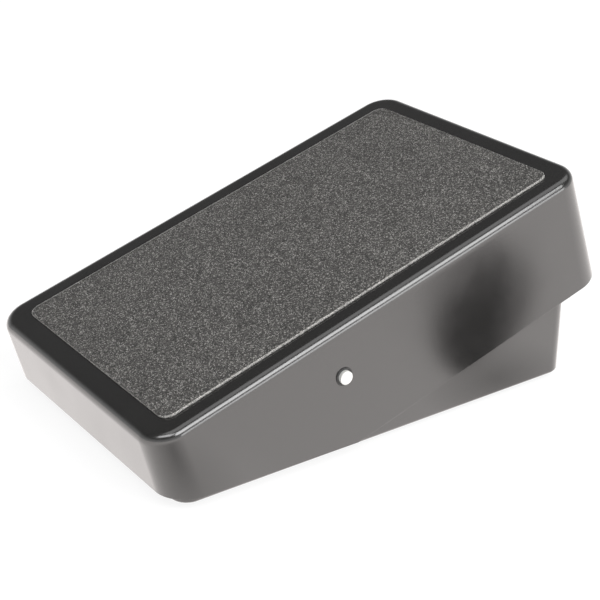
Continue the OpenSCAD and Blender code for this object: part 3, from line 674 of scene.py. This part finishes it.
# A node takes the longest name here that its own name starts with
PLAIN = {
    "foot": "rubber", "rest_pad": "rubber", "travel_stop": "rubber", "cable_grommet": "rubber",
    "hinge_pin": "zinc_steel", "pin_clip": "spring_steel", "spring_seat": "pale_nylon",
    "seat_screw": "zinc_steel", "return_spring": "spring_steel", "switch_bracket": "zinc_steel",
    "bracket": "zinc_steel", "switch_case": "case_resin", "switch_cover": "cover_resin",
    "switch_screws": "zinc_steel", "switch_nuts": "zinc_steel", "switch_terminals": "brass",
    "terminal_screws": "zinc_steel", "lever_pin": "zinc_steel", "earth": "brass",
    "treadle": "enamel", "base_tray": "enamel", "tread_pad": "grit", "hinge_bush": "black_nylon",
    "striker": "zinc_steel", "spring_cap": "pale_nylon", "switch_plunger": "pale_nylon",
    "switch_lever": "spring_steel", "roller_pin": "zinc_steel", "lever_roller": "black_nylon",
}
for name, ob in frame["nodes"].items():
    key = max((k for k in PLAIN if name.startswith(k)), key=len)
    ob.data.materials.clear()
    ob.data.materials.append(SLOTS[PLAIN[key]])


# ---------------------------------------------------------------- stage

# Painted reflections: patches painted into the floor's glow that only glosses see, so that they
# show in the product's gloss: (x, y, turn in degrees, half length, half width, amount). Above 0 is
# a painted bright patch, below 0 a painted dark patch, for painted dark reflections and painted
# shadow.
PAINTED_REFLECTIONS = [
    (-0.02, -0.125, 0, 0.30, 0.085, 0.15),
    (0.104, -0.120, 25, 0.066, 0.054, -0.66),
    (0.174, 0.131, 45, 0.104, 0.0255, -6.00),
    (0.084, 0.072, 70, 0.046, 0.032, -0.50),
]
FLOOR_SIZE = 8.0
# The floor's paint as it lights the product, as the camera sees it and as a gloss sees it, and the
# glow that whitens it for the last two. NEAR_GLOW is the camera's, close to the product.
FLOOR_GREY, SEEN_GREY, GLOSS_GREY = 0.8, 0.20, 0.05
FAR_GLOW, NEAR_GLOW, NEAR_FAC = 1.0, 0.86, 0.6
GLOSS_TINT, GLOSS_GLOW = (1.0, 0.955, 0.935), 1.78
# The room: a white sweep up to a little above the horizon, dark overhead. The heights are the z of
# the direction looked in.
SWEEP_GLOW, ROOM_GLOW, SWEEP_END, ROOM_START = 0.90, 0.145, 0.20, 0.50


def floor_material():
    """A white floor: the camera sees it white with a faint shadow, and glosses see it lit, with
    painted bright and dark patches in their glow as painted reflections.
    """
    m = material("floor")
    path = m.add("ShaderNodeLightPath").outputs
    level = 1.0
    # Each patch adds a painted reflection to the level of the glow that glosses see
    for x, y, turn, long, wide, amount in PAINTED_REFLECTIONS:
        place = m.add("ShaderNodeMapping", vector_type="TEXTURE", Location=(x, y, 0),
                      Rotation=(0, 0, math.radians(turn)), Scale=(long, wide, 1),
                      Vector=m.coords())
        level = m.calc("ADD", m.span(m.spot(place.outputs[0]), 0, amount, 0, 1), level)
    # The glow that glosses see, with the painted reflections in it
    gloss = m.calc("MULTIPLY", m.calc("MAXIMUM", level, 0.0), GLOSS_GLOW)
    # The floor that the camera sees is a little darker near the product, so that a shadow can show
    seen = m.span(m.spot(m.coords()), FAR_GLOW, NEAR_GLOW, 0.0, NEAR_FAC)
    shade = m.join("ShaderNodeBsdfDiffuse", even(FLOOR_GREY))
    for ray, paint, tint, glow in (("Is Camera Ray", SEEN_GREY, even(1.0), seen),
                                   ("Is Glossy Ray", GLOSS_GREY, GLOSS_TINT, gloss)):
        lit = m.join("ShaderNodeAddShader", m.join("ShaderNodeBsdfDiffuse", even(paint)),
                     m.join("ShaderNodeEmission", tint, glow))
        shade = m.join("ShaderNodeMixShader", path[ray], shade, lit)
    # From below the floor is left out of view
    m.put(m.surface, m.join("ShaderNodeMixShader",
                            m.add("ShaderNodeNewGeometry").outputs["Backfacing"], shade,
                            m.join("ShaderNodeBsdfTransparent")))
    return m.owner


def floor():
    bm = bmesh.new()
    bmesh.ops.create_grid(bm, x_segments=1, y_segments=1, size=FLOOR_SIZE / 2)
    ob = thing(bm, "floor")
    ob.data.materials.append(floor_material())


def world():
    """A white sweep in a dark room. The camera sees all of it white."""
    w = Nodes(bpy.data.worlds.new("world"), "ShaderNodeOutputWorld")
    way = w.join("ShaderNodeSeparateXYZ", w.add("ShaderNodeTexCoord").outputs["Generated"],
                 output="Z")
    seen = w.add("ShaderNodeLightPath").outputs["Is Camera Ray"]
    fade = w.span(way, SWEEP_GLOW, ROOM_GLOW, SWEEP_END, ROOM_START)
    white = w.calc("MAXIMUM", fade, seen)
    w.put(w.surface, w.join("ShaderNodeBackground", even(1.0), white))
    bpy.context.scene.world = w.owner


def lamp(name, at, aim, size, size_y, power):
    """A rectangular lamp, out of the camera's sight."""
    data = bpy.data.lights.new(name, "AREA")
    data.shape, data.size, data.size_y, data.energy = "RECTANGLE", size, size_y, power
    ob = bpy.data.objects.new(name, data)
    ob.location = at
    ob.rotation_euler = (Vector(aim) - Vector(at)).to_track_quat("-Z", "Y").to_euler()
    bpy.context.scene.collection.objects.link(ob)
    ob.visible_camera = False


floor()
world()
lamp("overhead", (0.05, 0.45, 1.45), (0.05, 0.45, 0), 0.90, 2.30, 7.6)
lamp("right_side", (1.06, 0.10, 1.03), (0, 0, 0.04), 1.10, 0.66, 14.5)
lamp("right_low", (1.28, 0.52, 0.27), (0, 0, 0.04), 0.85, 0.40, 4.0)
lamp("front_right", (0.42, -0.82, 1.12), (0, -0.1, 0.04), 1.00, 0.42, 6.0)


# ---------------------------------------------------------------- camera

# Where the camera stands, counted from the nose and the tray's underside, and its three directions
CAMERA = (0.4916823, -0.2297238 + NOSE_Y, 0.3145627 + FOOT_H)
RIGHT = Vector((0.5748562, 0.8182515, 0.0021768))
DOWN = Vector((0.3453279, -0.2401939, -0.9072241))
AHEAD = Vector((-0.7418146, 0.5222751, -0.4206421))

data = bpy.data.cameras.new("camera")
data.sensor_fit, data.sensor_width, data.lens = "HORIZONTAL", 36.0, 88.616
data.clip_start, data.clip_end = 0.01, 50
camera = bpy.data.objects.new("camera", data)
camera.matrix_world = (Matrix.Translation(CAMERA)
                       @ Matrix((RIGHT, -DOWN, -AHEAD)).transposed().to_4x4())
bpy.context.scene.collection.objects.link(camera)
bpy.context.scene.camera = camera
bpy.context.scene.view_settings.view_transform = "Standard"
